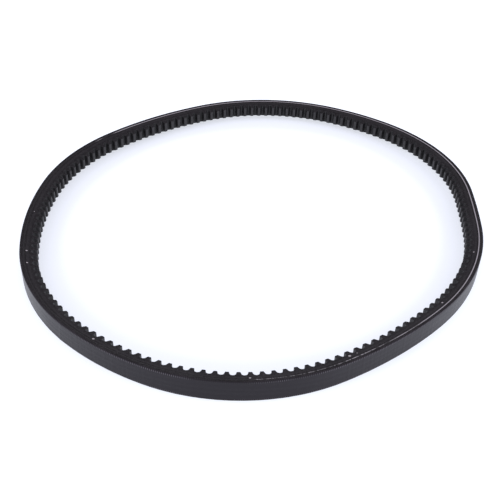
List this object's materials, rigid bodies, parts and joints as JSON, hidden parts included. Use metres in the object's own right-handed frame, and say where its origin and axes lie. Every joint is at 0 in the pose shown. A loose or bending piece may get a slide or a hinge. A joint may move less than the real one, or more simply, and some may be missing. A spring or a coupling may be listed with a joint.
{
  "type": "cogged v belt",
  "caption": "Endless raw-edge cogged V-belt that drives a pulley by its two sloping flanks, lying on its side in a relaxed oval.",
  "frame": {"origin": "centre of the loop, on the face that the belt lies on", "axes": "+Z along the belt's width, which is the axis of the pulleys; +Y nearest the long axis of the relaxed oval; +X across it"},
  "size_m": [0.2926, 0.328, 0.013],
  "materials": {
    "back_fabric": "satin rubberised fabric, charcoal grey",
    "inner_fabric": "rubberised fabric, cut edge",
    "gum_rubber": "ground black rubber",
    "cord": "twisted polyester cord, cut and ground at the flanks",
    "cog_rubber": "fibre-loaded black rubber, ground matt at the flanks",
    "cog_fabric": "thin rubberised fabric moulded over the cogs"
  },
  "bodies": {
    "root": {"back_fabric_outer": "back_fabric", "back_fabric_inner": "inner_fabric", "cushion_rubber": "gum_rubber", "tension_cord_1": "cord", "tension_cord_2": "cord", "tension_cord_3": "cord", "tension_cord_4": "cord", "tension_cord_5": "cord", "tension_cord_6": "cord", "tension_cord_7": "cord", "tension_cord_8": "cord", "tension_cord_9": "cord", "adhesion_rubber": "gum_rubber", "cogged_rubber": "cog_rubber", "cog_fabric": "cog_fabric"}
  },
  "joints": []
}
